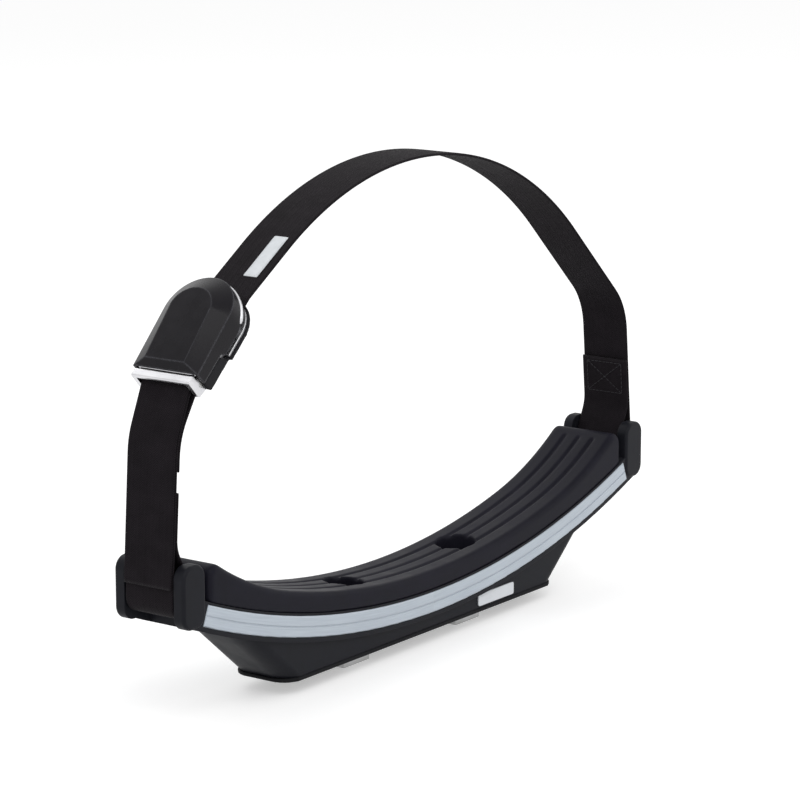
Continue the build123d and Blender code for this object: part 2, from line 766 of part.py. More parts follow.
# Buckle pad
with BuildPart() as buckle_pad:
    with BuildSketch(bed_plane):
        with Locations((rim_centre_u, 0)):
            Rectangle(rim_centre_u - base_bottom_u, 2 * boot_outer, align=(Align.MAX, Align.CENTER))
            Rectangle(rim_centre_u - boot_end_u, 2 * boot_half, align=(Align.MAX, Align.CENTER))
            Circle(boot_half)
    extrude(amount=boot_thickness)
    for wall_y in (boot_inner, -boot_outer):
        with BuildSketch(side_plane.offset(wall_y)):
            with BuildLine():
                Polyline(
                    (frame_bottom_u + boot_short, bed_w),
                    (frame_bottom_u + boot_short, boot_top_w),
                    (boot_end_u - boot_slope, boot_top_w),
                    (boot_end_u, boot_thickness),
                    (boot_end_u, 0),
                    (base_bottom_u, 0),
                    close=True,
                )
            make_face()
        extrude(amount=boot_wall)
buckle_pad.part.label = "buckle_pad"
export_step(buckle_pad.part, "parts/buckle_pad.step")

# Pins
with BuildPart() as anchor_pin:
    with BuildSketch(side_plane):
        with Locations((anchor_u, anchor_w)):
            Circle(pin_radius)
    extrude(amount=cheek_outer, both=True)
anchor_pin.part.label = "anchor_pin"
export_step(anchor_pin.part, "parts/anchor_pin.step")

with BuildPart() as cam_pin:
    with BuildSketch(side_plane):
        with Locations((cam_u, cam_w)):
            Circle(pin_radius)
    extrude(amount=cheek_outer, both=True)
cam_pin.part.label = "cam_pin"
export_step(cam_pin.part, "parts/cam_pin.step")

# Cam lever
lever_plane = strap_plane(buckle_point(plate_bottom_u, plate_bottom_w), slope + radians(plate_slope))
with BuildPart() as cam_lever:
    with BuildSketch(side_plane.offset(coil_room - lever_width / 2)):
        with Locations((cam_u + cam_offset_u, cam_w + cam_offset_w)):
            Circle(cam_radius)
            with PolarLocations(cam_radius, tooth_count, tooth_start, tooth_sweep):
                Rectangle(tooth_size, tooth_size, rotation=45, mode=Mode.SUBTRACT)
        with Locations((cam_u, cam_w)):
            Rectangle(web_length, web_height, align=(Align.CENTER, Align.MIN))
            Circle(pin_radius + pin_clearance, mode=Mode.SUBTRACT)
    extrude(amount=lever_width - coil_room)
    with BuildSketch(lever_plane) as plate_plan:
        lever_outline(0, 0, 0)
        fillet(plate_plan.vertices().sort_by(Axis.X)[:2], plate_corner)
    extrude(amount=plate_thickness)
cam_lever.part.label = "cam_lever"
export_step(cam_lever.part, "parts/cam_lever.step")

# Lever cover, a cap on the plate with skirts down its sides
skirt_low_w = bed_w + skirt_low_gap
skirt_high_w = boot_top_w + skirt_gap
step_u = boot_end_u - boot_slope + skirt_step
step_run = boot_slope * (skirt_high_w - skirt_low_w) / (boot_top_w - boot_thickness)
cover_plane = lever_plane.offset(plate_thickness)
crest_place = buckle_point(plate_bottom_u, plate_bottom_w + plate_thickness + cover_rise)
crest_plane = strap_plane(crest_place, slope + radians(plate_slope + cover_slope))
with BuildPart() as lever_cover:
    with BuildSketch(cover_plane):
        lever_outline(-plate_clearance - skirt_wall, -plate_clearance - skirt_wall, cover_inset)
    extrude(amount=-skirt_depth)
    with BuildSketch(side_plane):
        with BuildLine():
            Polyline(
                (frame_bottom_u, skirt_high_w),
                (step_u, skirt_high_w),
                (step_u + step_run, skirt_low_w),
                (rim_centre_u, skirt_low_w),
                (frame_top_u + boot_margin, skirt_nose_w),
                (frame_top_u + boot_margin, 2 * skirt_depth),
                (frame_bottom_u, 2 * skirt_depth),
                close=True,
            )
        make_face()
    extrude(amount=cover_half, both=True, mode=Mode.INTERSECT)
    with BuildSketch(cover_plane):
        lever_outline(-plate_clearance, -plate_clearance, -skirt_wall)
    extrude(amount=-skirt_depth, mode=Mode.SUBTRACT)
    with BuildSketch(cover_plane):
        lever_outline(-plate_clearance - skirt_wall, -plate_clearance - skirt_wall, cover_inset)
    with BuildSketch(crest_plane):
        lever_outline(cover_flank, cover_nose, cover_heel)
    loft(ruled=True)
lever_cover.part.label = "lever_cover"
export_step(lever_cover.part, "parts/lever_cover.step")

# Lever spring, wound upright about its own axis and then laid along the pin
coil_height = coil_pitch * coil_turns
climb = coil_pitch / (2 * pi * coil_radius)
with BuildPart() as coil:
    with BuildLine() as wire_line:
        Line((coil_radius, lever_leg, -lever_leg * climb), (coil_radius, 0, 0))
        Helix(coil_pitch, coil_height, coil_radius, lefthand=True)
        Line((-coil_radius, 0, coil_height), (-coil_radius, frame_leg, coil_height + frame_leg * climb))
    with BuildSketch(Plane(origin=wire_line.line @ 0, z_dir=wire_line.line % 0)):
        Circle(wire_radius)
    sweep()

cam_centre_x, cam_centre_z = buckle_point(cam_u, cam_w)
coil_turn = slope + radians(90 + lever_leg_lift)
coil_plane = Plane(
    origin=(cam_centre_x, coil_start_y, cam_centre_z),
    x_dir=(cos(coil_turn), 0, sin(coil_turn)),
    z_dir=(0, 1, 0),
)
with BuildPart() as cam_spring:
    with Locations(coil_plane.location):
        add(coil.part)
cam_spring.part.label = "cam_spring"
export_step(cam_spring.part, "parts/cam_spring.step")
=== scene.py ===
from math import asin, atan2, ceil, cos, hypot, pi, radians, sin, sqrt

import bpy
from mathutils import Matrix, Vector


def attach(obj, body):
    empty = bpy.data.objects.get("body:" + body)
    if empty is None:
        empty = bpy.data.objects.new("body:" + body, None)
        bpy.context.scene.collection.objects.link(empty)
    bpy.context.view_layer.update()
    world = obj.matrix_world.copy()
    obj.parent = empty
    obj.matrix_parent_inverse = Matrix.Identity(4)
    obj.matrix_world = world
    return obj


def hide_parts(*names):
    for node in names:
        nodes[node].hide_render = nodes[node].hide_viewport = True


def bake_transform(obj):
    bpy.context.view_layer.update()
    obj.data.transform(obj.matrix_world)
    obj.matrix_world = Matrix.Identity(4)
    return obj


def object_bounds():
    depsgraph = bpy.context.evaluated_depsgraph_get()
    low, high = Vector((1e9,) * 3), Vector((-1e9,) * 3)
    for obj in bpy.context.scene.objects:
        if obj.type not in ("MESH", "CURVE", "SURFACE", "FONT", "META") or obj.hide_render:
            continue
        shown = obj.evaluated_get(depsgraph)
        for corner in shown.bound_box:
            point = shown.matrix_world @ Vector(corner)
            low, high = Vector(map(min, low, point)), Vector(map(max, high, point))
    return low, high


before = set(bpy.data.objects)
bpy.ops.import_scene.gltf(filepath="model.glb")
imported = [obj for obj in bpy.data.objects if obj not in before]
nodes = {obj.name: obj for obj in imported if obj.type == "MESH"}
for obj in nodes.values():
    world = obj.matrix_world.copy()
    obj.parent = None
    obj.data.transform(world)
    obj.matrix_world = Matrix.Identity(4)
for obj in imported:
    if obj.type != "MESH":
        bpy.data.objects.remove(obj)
cad_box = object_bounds()
scene = bpy.context.scene

# Sizes and places are in millimetres, with X along the saddle and Z up, unless a heading says metres
MM = 0.001

# Saddle: the middle arc of its trim, and the drums in its strap horns
ARC_CENTRE_Z = 639.5
ARC_RADIUS = 620.0
HORN_X = 235.0
HORN_RISE = 5.3
HORN = (HORN_X, ARC_CENTRE_Z - sqrt(ARC_RADIUS**2 - HORN_X**2) + HORN_RISE)
DRUM_RADIUS = 8.5

# Webbing: its layers, and the gap to what it lies on
STRAP_WIDTH = 35.0
STRAP_HALF = 0.9
LAYER_GAP = 0.25
LAYER_PITCH = 2 * STRAP_HALF + LAYER_GAP
SEAT_GAP = 0.1
STRAP_SEAT = SEAT_GAP + STRAP_HALF
DRUM_LINE = DRUM_RADIUS + STRAP_SEAT

# Path of the tightened strap, its sewn ends and its tail
CROWN_RADIUS = 250.0
CROWN_CENTRE = (0.0, 50.0)
STRAP_FLAT = 70.0
SLOPE = radians(43.0)
SHOULDER_RADIUS = 45.0
LOOP_LENGTH = 37.0
ANCHOR_SEWN = 8.0
SEWN_GAP = 12.0
MERGE_RADIUS = 20.0
TAIL_SHORT_OF_HORN = 8.0

# Strap's stations in the buckle, each placed along the buckle towards the crown and out of the loop
BED_TOP = 3.6
ANCHOR_RADIUS = 2.0
ANCHOR_LINE = ANCHOR_RADIUS + STRAP_SEAT
ANCHOR = (-27.0, BED_TOP + LAYER_GAP + STRAP_HALF + ANCHOR_LINE)
CAM_REACH = 5.3
CAM_LINE = CAM_REACH + STRAP_HALF
CAM = (3.5, BED_TOP + STRAP_SEAT + CAM_LINE)
RAMP_LINE = 8.0
RAMP = (36.5, BED_TOP + STRAP_SEAT - RAMP_LINE)

# Webbing's cross section: fine ribs, a line inside each border, and rounded edges down to a least share
PROFILE_STEP = 0.625
RIB_PITCH = 2.5
RIB_DEPTH = 0.09
BORDER_PLACE = 14.6
BORDER_WIDTH = 0.9
BORDER_DEPTH = 0.16
EDGE_ROUND = 1.0
EDGE_LEAST = 0.28

# Webbing's length: steps along its line, and the share of a step that is too little for another
RUN_STEP = 4.0
ARC_STEP = radians(5.0)
STEP_SLACK = 0.000001

# Webbing's sealed ends: their length, and the shares of thickness and width left at the cut
SEAL_LENGTH = 1.2
SEAL_THICKNESS = 0.72
SEAL_WIDTH = 0.9958

# Stitches: pitch, length and thread radius, and how far their box stays from the webbing's edges and ends
STRAP_STITCH = (3.0, 2.5, 0.34)
LABEL_STITCH = (2.0, 1.6, 0.17)
BOX_MARGIN = 4.0
BOX_END = 3.0

# A stitch's cross sections: each one's place in stitch lengths, and its girth and rise in thread radii
STITCH_SECTIONS = (
    (-0.5, 0.55, -0.6), (-0.38, 0.95, 0.15), (0.0, 1.0, 0.45), (0.38, 0.95, 0.15), (0.5, 0.55, -0.6),
)
THREAD_SIDES = 6

# Label: its place on the strap, its folded ends and its hem
LABEL_ALONG = 34.0
LABEL_LENGTH = 36.0
LABEL_WIDTH = 10.0
LABEL_MIDDLE = -7.0
LABEL_THICKNESS = 0.5
LABEL_GAP = 0.05
LABEL_FOLD = 5.0
LABEL_HEM = 0.9
LABEL_SEAM_RISE = 0.7

# Label's mesh: cross sections near each end and between them, and how its thickness and corners ease off
LABEL_END_STEPS = (0.0, 0.25, 0.7, LABEL_FOLD - 0.5, LABEL_FOLD, LABEL_FOLD + 0.6)
LABEL_INNER_STEPS = 12
LABEL_ACROSS_STEP = 1.0
LABEL_SINGLE = 0.72
LABEL_END_RISE = 0.25
LABEL_CORNER = 0.7
LABEL_CORNER_CUT = 0.05
LABEL_EDGE_DROP = 0.4
LABEL_EDGE_POWER = 6

# Lever: where it starts in the buckle, its cover's round nose, and two places on its skirt's lower edge
LEVER_GAP = 0.9
LEVER_START = (-27.5, ANCHOR[1] + ANCHOR_LINE + LAYER_PITCH + STRAP_HALF + LEVER_GAP)
LEVER_SLOPE = radians(3.0)
NOSE_ALONG = 41.5
NOSE_RADIUS = 24.0
SKIRT_EDGE = ((12.4, 5.2), (38.4, 13.6))

# Lever rim: its reach round the nose, and its cross section out of the skirt and up from the lower edge
RIM_SWEEP = radians(84.0)
RIM_END = radians(8.0)
RIM_STEPS = 64
RIM_SECTION = (
    (-1.0, 2.2), (0.2, 2.2), (0.55, 2.0), (0.75, 1.6), (0.75, 0.1), (0.55, -0.3), (0.2, -0.5), (-1.0, -0.5),
)
RIM_CORE = (-0.4, 0.85)
RIM_LEAST = 0.3

# Pad: its upper line's long arc, the tighter arcs at its ends, and its rounded upper edges
PAD_TOP = 39.5
PAD_RADIUS = 560.0
PAD_CENTRE = (0.0, PAD_TOP + PAD_RADIUS)
PAD_BEND_X = 140.0
PAD_BEND = asin(PAD_BEND_X / PAD_RADIUS)
PAD_END_RADIUS = 230.0
PAD_END_CENTRE = (
    (PAD_RADIUS - PAD_END_RADIUS) * sin(PAD_BEND),
    PAD_CENTRE[1] - (PAD_RADIUS - PAD_END_RADIUS) * cos(PAD_BEND),
)
PAD_HALF = 24.5
PAD_EDGE = 3.5
PAD_EDGE_REACH = 206.0
EASE_FACTOR = 0.5

# Surfaces: every scale counts a noise's features to a metre
BLOTCH_SCALE = 55.0
SCUFF_AND_HIGHLIGHT_SCALE = 420.0
FINE_DETAIL = 2.0
GRAIN_STRENGTH = 0.6

# Worn edges: how alike the eased and plain normals are where wear starts and where it is full
USUAL_WEAR = (0.96, 0.80)
BEVEL_SAMPLES = 6

# Trim's surface: faint lines, drawn out along the arc
LINE_SCALE = 1500.0
LINE_STRETCH = 0.012
LINE_STRENGTH = 0.25
LINE_DEPTH = 0.04
TRIM_BLOTCH_SCALE = 40.0

# Woven surfaces: yarns with their fuzz, wear and sealed ends, and the label's finer weave
YARN_PITCH = 1.4
YARN_STRENGTH = 0.55
YARN_DEPTH = 0.12
FUZZ_SCALE = 2600.0
FUZZ_SHARE = 0.5
WEAR_SCALE = 70.0
SEALED_FROM = 0.8
SEALED_TO = 2.2
CLOTH_STRENGTH = 0.4
CLOTH_DEPTH = 0.06
MOTTLE_SCALE = 180.0

# Stage, in metres: the floor, the sky, and each lamp's place, size and power
FLOOR_HALF = 9.0
FLOOR_DROP = 0.0002
FLOOR_COLOUR = (0.80, 0.80, 0.80, 1)
FLOOR_GLOW = 0.40
SKY_COLOUR = (1, 1, 1, 1)
SKY_LIGHT = 0.70
SKY_SHOWN = 1.0
LAMPS = {
    "key": ((-1.4, -1.6, 2.2), 1.6, 22.0),
    "fill": ((1.8, -1.5, 1.2), 1.8, 8.0),
    "back": ((0.4, 1.8, 1.8), 1.6, 12.0),
}

# Camera: the photograph's viewing angle, the lens, the sensor, and the height in metres that fills the frame
AZIMUTH = radians(-54.0)
ELEVATION = radians(12.0)
LENS = 150.0
SENSOR = 36.0
FRAME_HEIGHT = 0.50


# The strap's line

def buckle_point(along, out):
    """Place in the front view of a point given along the buckle and out of it."""
    start_x = -CROWN_RADIUS * sin(SLOPE) - STRAP_FLAT / 2 * cos(SLOPE)
    start_z = CROWN_CENTRE[1] + CROWN_RADIUS * cos(SLOPE) - STRAP_FLAT / 2 * sin(SLOPE)
    x = start_x + along * cos(SLOPE) - out * sin(SLOPE)
    z = start_z + along * sin(SLOPE) + out * cos(SLOPE)
    return x, z


def distance_between(start, end):
    """Length of the straight line between two places in the front view."""
    return hypot(end[0] - start[0], end[1] - start[1])


def tangent(first, second):
    """Ends of the straight run between two stations, each a centre, a radius and a turn."""
    (x1, z1), radius1, turn1 = first
    (x2, z2), radius2, turn2 = second
    lean = asin((turn1 * radius1 - turn2 * radius2) / distance_between((x1, z1), (x2, z2)))
    heading = atan2(z2 - z1, x2 - x1) + lean
    start = (x1 + turn1 * radius1 * sin(heading), z1 - turn1 * radius1 * cos(heading))
    end = (x2 + turn2 * radius2 * sin(heading), z2 - turn2 * radius2 * cos(heading))
    return start, end


def beside(start, end, along, aside):
    """Point a distance along a run and a distance to its left."""
    run = distance_between(start, end)
    step = ((end[0] - start[0]) / run, (end[1] - start[1]) / run)
    return start[0] + along * step[0] - aside * step[1], start[1] + along * step[1] + aside * step[0]


class TautLine:
    """The middle line of a tightened strap: straight runs, with an arc at each station between them."""

    def __init__(self, stations):
        self.stations = stations
        self.parts = []
        self.length = 0.0
        runs = [tangent(first, second) for first, second in zip(stations, stations[1:])]
        for number, (start, end) in enumerate(runs):
            self.add(distance_between(start, end), RUN_STEP, run=(start, end))
            if number + 1 < len(runs):
                centre, radius, turn = stations[number + 1]
                following = runs[number + 1][0]
                first = atan2(end[1] - centre[1], end[0] - centre[0])
                last = atan2(following[1] - centre[1], following[0] - centre[0])
                sweep = turn * ((turn * (last - first)) % (2 * pi))
                step = min(radius * ARC_STEP, RUN_STEP)
                self.add(radius * abs(sweep), step, arc=(centre, radius, first, sweep))

    def add(self, length, step, run=None, arc=None):
        """Puts a run or an arc at the end of the line."""
        self.parts.append((self.length, length, step, run, arc))
        self.length += length

    def run_after(self, station):
        """Where the run after a station begins and ends along the line."""
        begin, length, *_ = self.parts[2 * self.stations.index(station)]
        return begin, begin + length

    def place(self, distance):
        """Point on the line, and the unit direction to its left."""
        for begin, length, _, run, arc in self.parts:
            if distance <= begin + length:
                break
        share = (distance - begin) / length
        if run:
            (x1, z1), (x2, z2) = run
            point = (x1 + share * (x2 - x1), z1 + share * (z2 - z1))
            heading = atan2(z2 - z1, x2 - x1)
        else:
            centre, radius, first, sweep = arc
            angle = first + share * sweep
            point = (centre[0] + radius * cos(angle), centre[1] + radius * sin(angle))
            heading = angle + (pi / 2 if sweep > 0 else -pi / 2)
        return Vector((point[0], 0, point[1])), Vector((-sin(heading), 0, cos(heading)))

    def surface(self, distance, across, out):
        """Point a distance across the strap and a distance to the left of its middle line."""
        point, left = self.place(min(max(distance, 0.0), self.length))
        return point + left * out + Vector((0, across, 0))

    def stops(self):
        """Distances along the line at which the webbing has a cross section."""
        found = [0.0, SEAL_LENGTH / 2, SEAL_LENGTH]
        for begin, length, step, *_ in self.parts:
            count = max(1, ceil(length / step - STEP_SLACK))
            found += [begin + length * number / count for number in range(1, count + 1)]
        found += [self.length - SEAL_LENGTH, self.length - SEAL_LENGTH / 2]
        return sorted(found)


shoulder = buckle_point(-STRAP_FLAT / 2, -SHOULDER_RADIUS)
inner_layer = SHOULDER_RADIUS + STRAP_HALF
load_layer = inner_layer + LAYER_PITCH
anchor = buckle_point(*ANCHOR)
ramp = (buckle_point(*RAMP), RAMP_LINE, -1)
crown = (CROWN_CENTRE, CROWN_RADIUS + STRAP_HALF, -1)
near_horn = ((-HORN[0], HORN[1]), DRUM_LINE, 1)
far_horn = (HORN, DRUM_LINE, -1)
near_load = (shoulder, load_layer, 1)
far_load = ((-shoulder[0], shoulder[1]), inner_layer, -1)
side_top, side_bottom = tangent(near_load, near_horn)
far_top, far_bottom = tangent(far_load, far_horn)
sewn_length = distance_between(side_top, side_bottom) - LOOP_LENGTH - ANCHOR_SEWN - SEWN_GAP
short_line = TautLine([
    (beside(side_top, side_bottom, ANCHOR_SEWN, LAYER_PITCH), 0, 0),
    (shoulder, inner_layer, -1),
    (anchor, ANCHOR_LINE, 1),
    near_load,
    near_horn,
    (beside(side_bottom, side_top, LOOP_LENGTH, -LAYER_PITCH - MERGE_RADIUS), MERGE_RADIUS, -1),
    (beside(side_bottom, side_top, LOOP_LENGTH + sewn_length, -LAYER_PITCH), 0, 0),
])
long_line = TautLine([
    (beside(side_bottom, side_top, TAIL_SHORT_OF_HORN, LAYER_PITCH), 0, 0),
    (shoulder, load_layer + LAYER_PITCH, -1),
    (anchor, ANCHOR_LINE + LAYER_PITCH, -1),
    (buckle_point(*CAM), CAM_LINE, 1),
    ramp,
    crown,
    far_load,
    far_horn,
    (beside(far_bottom, far_top, LOOP_LENGTH, LAYER_PITCH + MERGE_RADIUS), MERGE_RADIUS, 1),
    (beside(far_bottom, far_top, LOOP_LENGTH + sewn_length, LAYER_PITCH), 0, 0),
])


# Mesh pieces

def new_piece(name, points, faces, material, body):
    """A smooth mesh piece from points in millimetres, riding on a body."""
    mesh = bpy.data.meshes.new(name)
    mesh.from_pydata([point * MM for point in points], [], faces)
    mesh.polygons.foreach_set("use_smooth", [True] * len(mesh.polygons))
    mesh.materials.append(material)
    mesh.update()
    piece = bpy.data.objects.new(name, mesh)
    scene.collection.objects.link(piece)
    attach(piece, body)
    return piece


def tube_faces(rings, sides, first=0):
    """Faces of a closed tube of rings, with both ends capped."""
    last = first + (rings - 1) * sides
    faces = []
    for low in range(first, last, sides):
        high = low + sides
        for side in range(sides):
            after = (side + 1) % sides
            faces.append((low + side, low + after, high + after, high + side))
    faces.append(tuple(first + side for side in reversed(range(sides))))
    faces.append(tuple(last + side for side in range(sides)))
    return faces


def places_across(width, step):
    """Evenly spaced places from one edge of a band to the other."""
    count = round(width / step)
    return [-width / 2 + width * number / count for number in range(count + 1)]


def woven_piece(name, node, points, weave, sections, material):
    """A woven band that stands for a node, with each point's place in its weave kept for the material."""
    faces = tube_faces(sections, len(points) // sections)
    piece = new_piece(name, points, faces, material, "saddle")
    kept = piece.data.attributes.new("weave", "FLOAT_VECTOR", "POINT")
    kept.data.foreach_set("vector", [value * MM for place in weave for value in place])
    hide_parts(node)


def half_thickness(across):
    """Half the webbing's thickness: rounded edges, a line inside each border and fine ribs between."""
    to_edge = STRAP_WIDTH / 2 - abs(across)
    rib = RIB_DEPTH * (1 - cos(2 * pi * across / RIB_PITCH)) / 2
    from_border = abs(abs(across) - BORDER_PLACE)
    border = BORDER_DEPTH * max(0.0, 1 - from_border / BORDER_WIDTH)
    flat = STRAP_HALF - max(rib, border)
    if to_edge >= EDGE_ROUND:
        return flat
    return flat * max(EDGE_LEAST, sqrt(1 - (1 - to_edge / EDGE_ROUND) ** 2))


def webbing(name, line, node, material):
    """Woven strap along a line, with sealed ends."""
    places = places_across(STRAP_WIDTH, PROFILE_STEP)
    profile = [(across, half_thickness(across)) for across in places]
    profile += [(across, -half_thickness(across)) for across in reversed(places)]
    points = []
    weave = []
    stops = line.stops()
    for distance in stops:
        from_end = min(distance, line.length - distance)
        whole = min(1.0, from_end / SEAL_LENGTH)
        thickness = SEAL_THICKNESS + (1 - SEAL_THICKNESS) * whole
        width = SEAL_WIDTH + (1 - SEAL_WIDTH) * whole
        for across, out in profile:
            points.append(line.surface(distance, across * width, out * thickness))
            weave.append((distance, across, from_end))
    woven_piece(name, node, points, weave, len(stops), material)


def label_tab(name, line, node, start, material):
    """Woven tab on the strap's outer face, with its ends folded under."""
    places = places_across(LABEL_WIDTH, LABEL_ACROSS_STEP)
    inner_start = LABEL_END_STEPS[-1]
    inner_step = (LABEL_LENGTH - 2 * inner_start) / LABEL_INNER_STEPS
    steps = [*LABEL_END_STEPS]
    steps += [inner_start + number * inner_step for number in range(1, LABEL_INNER_STEPS)]
    steps += [LABEL_LENGTH - step for step in reversed(LABEL_END_STEPS)]
    points = []
    weave = []
    for step in steps:
        from_end = min(step, LABEL_LENGTH - step)
        layers = 1.0 if from_end < LABEL_FOLD else LABEL_SINGLE
        height = layers * sqrt(min(1.0, LABEL_END_RISE + from_end))
        width = 1 - LABEL_CORNER_CUT * max(0.0, 1 - from_end / LABEL_CORNER)
        profile = []
        for across in places:
            to_edge = 2 * abs(across) / LABEL_WIDTH
            profile.append((across, height * (1 - LABEL_EDGE_DROP * to_edge**LABEL_EDGE_POWER)))
        profile += [(across, 0.0) for across in reversed(places)]
        for across, rise in profile:
            out = STRAP_HALF + LABEL_GAP + LABEL_THICKNESS * rise
            points.append(line.surface(start + step, LABEL_MIDDLE + across * width, out))
            weave.append((step, across, 0.0))
    woven_piece(name, node, points, weave, len(steps), material)


def outline(corners):
    """Lines from each corner to the next, back to the first."""
    return list(zip(corners, corners[1:] + corners[:1]))


def box_and_cross(start, end, half):
    """Stitch lines of a box with a cross in it, in distances along and across a strap."""
    corners = [(start, -half), (end, -half), (end, half), (start, half)]
    return outline(corners) + [(corners[0], corners[2]), (corners[1], corners[3])]


def stitching(name, line, rows, out, thread, material):
    """Rows of sewn thread on a strap's face, each stitch dipping into the webbing at its ends."""
    pitch, length, radius = thread
    outward = 1 if out > 0 else -1
    points = []
    faces = []
    for (along1, across1), (along2, across2) in rows:
        count = max(1, round(hypot(along2 - along1, across2 - across1) / pitch))
        turn = atan2(across2 - across1, along2 - along1)
        for number in range(count):
            middle = (number + 0.5) / count
            along = along1 + middle * (along2 - along1)
            across = across1 + middle * (across2 - across1)
            first = len(points)
            for share, girth, rise in STITCH_SECTIONS:
                reach = share * length
                for side in range(THREAD_SIDES):
                    angle = 2 * pi * side / THREAD_SIDES
                    aside = girth * radius * cos(angle)
                    points.append(line.surface(
                        along + reach * cos(turn) - aside * sin(turn),
                        across + reach * sin(turn) + aside * cos(turn),
                        out + outward * radius * (rise + girth * sin(angle)),
                    ))
            faces += tube_faces(len(STITCH_SECTIONS), THREAD_SIDES, first)
    new_piece(name, points, faces, material, "saddle")


def lever_point(along, height):
    """Place along the buckle and out of it of a point given along the lever and up from it."""
    run, rise = cos(LEVER_SLOPE), sin(LEVER_SLOPE)
    return LEVER_START[0] + along * run - height * rise, LEVER_START[1] + along * rise + height * run


def skirt_edge(along):
    """Height up from the lever of the lower edge of its cover's skirt."""
    (low_along, low_out), (high_along, high_out) = SKIRT_EDGE
    climb = (high_out - low_out) / (high_along - low_along)
    buckle_along, buckle_out = lever_point(along, 0)
    short = low_out + climb * (buckle_along - low_along) - buckle_out
    return short / (cos(LEVER_SLOPE) + climb * sin(LEVER_SLOPE))


def nose_rim(name, material, body):
    """Metal rim on the lower edge of the lever cover's nose, its ends sunk in the skirt."""
    points = []
    for number in range(RIM_STEPS + 1):
        turn = RIM_SWEEP * (2 * number / RIM_STEPS - 1)
        edge = skirt_edge(NOSE_ALONG + NOSE_RADIUS * cos(turn))
        to_end = min(1.0, (RIM_SWEEP - abs(turn)) / RIM_END)
        girth = max(RIM_LEAST, sqrt(1 - (1 - to_end) ** 2))
        for proud, up in RIM_SECTION:
            reach = NOSE_RADIUS + RIM_CORE[0] + girth * (proud - RIM_CORE[0])
            height = edge + RIM_CORE[1] + girth * (up - RIM_CORE[1])
            x, z = buckle_point(*lever_point(NOSE_ALONG + reach * cos(turn), height))
            points.append(Vector((x, reach * sin(turn), z)))
    new_piece(name, points, tube_faces(RIM_STEPS + 1, len(RIM_SECTION)), material, body)


# Pieces made from a copy of a node's mesh

def straightened(place):
    """A point of the pad with the pad's upper line laid straight: along it, across and out of it."""
    x, across, z = place / MM
    side = -1 if x < 0 else 1
    turn = atan2(abs(x), PAD_CENTRE[1] - z)
    if turn <= PAD_BEND:
        along = PAD_RADIUS * turn
        out = PAD_RADIUS - hypot(x, PAD_CENTRE[1] - z)
    else:
        reach, drop = abs(x) - PAD_END_CENTRE[0], PAD_END_CENTRE[1] - z
        along = PAD_RADIUS * PAD_BEND + PAD_END_RADIUS * (atan2(reach, drop) - PAD_BEND)
        out = PAD_END_RADIUS - hypot(reach, drop)
    return Vector((side * along, across, out)) * MM


def bent(place):
    """The place on the pad of a point that was laid straight."""
    along, across, out = place / MM
    side = -1 if along < 0 else 1
    turn = abs(along) / PAD_RADIUS
    if turn <= PAD_BEND:
        centre, radius = PAD_CENTRE, PAD_RADIUS - out
    else:
        centre, radius = PAD_END_CENTRE, PAD_END_RADIUS - out
        turn = PAD_BEND + (abs(along) - PAD_RADIUS * PAD_BEND) / PAD_END_RADIUS
    return Vector((side * (centre[0] + radius * sin(turn)), across, centre[1] - radius * cos(turn))) * MM


def trued_edge(place):
    """A point of the straightened pad, put on the round of its upper edge where it lies there."""
    along, across, out = place / MM
    aside = abs(across) - (PAD_HALF - PAD_EDGE)
    up = out + PAD_EDGE
    if aside <= 0 or up <= 0 or abs(along) > PAD_EDGE_REACH:
        return place
    share = PAD_EDGE / hypot(aside, up)
    across = (PAD_HALF - PAD_EDGE + aside * share) * (-1 if across < 0 else 1)
    return Vector((along, across, up * share - PAD_EDGE)) * MM


def reshape(piece, change):
    """Moves each point of a piece to where a change puts it."""
    for point in piece.data.vertices:
        point.co = change(point.co)


def settle(piece):
    """Puts what a piece's modifiers make into its mesh."""
    shaped = piece.evaluated_get(bpy.context.evaluated_depsgraph_get())
    piece.data = bpy.data.meshes.new_from_object(shaped)
    piece.modifiers.clear()


def copied(name, node):
    """A new object with a copy of a node's mesh."""
    piece = bpy.data.objects.new(name, nodes[node].data.copy())
    scene.collection.objects.link(piece)
    return piece


def stand_in(piece, node, material):
    """Gives a copied piece its material and has it stand for the node."""
    piece.data.name = piece.name
    piece.data.materials.clear()
    piece.data.materials.append(material)
    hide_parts(node)


def softened(name, node, material, voxel, rounds, curved=False):
    """A copy of a soft solid with its edges eased all round, as moulded rubber has them."""
    piece = copied(name, node)
    if curved:
        reshape(piece, straightened)
    even = piece.modifiers.new("even", "REMESH")
    even.mode = "VOXEL"
    even.voxel_size = voxel * MM
    even.use_smooth_shade = True
    settle(piece)
    if curved:
        reshape(piece, trued_edge)
    ease = piece.modifiers.new("ease", "SMOOTH")
    ease.factor = EASE_FACTOR
    ease.iterations = rounds
    settle(piece)
    if curved:
        reshape(piece, bent)
    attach(piece, "saddle")
    stand_in(piece, node, material)
    return piece


def twisting(name, node, material):
    """A copy of a spring with its material, its place put into its mesh, and the spring's node hidden."""
    piece = copied(name, node)
    stand_in(piece, node, material)
    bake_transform(piece)


# Materials

def add(tree, kind, inputs=None, **settings):
    """A shader node with its settings, and its inputs linked or set."""
    made = tree.nodes.new("ShaderNode" + kind)
    for key, value in settings.items():
        setattr(made, key, value)
    for key, value in (inputs or {}).items():
        if isinstance(value, bpy.types.NodeSocket):
            tree.links.new(value, made.inputs[key])
        else:
            made.inputs[key].default_value = value
    return made


def calculate(tree, operation, *values, **settings):
    """Result of a sum, product or other operation on values."""
    return add(tree, "Math", dict(enumerate(values)), operation=operation, **settings).outputs["Value"]


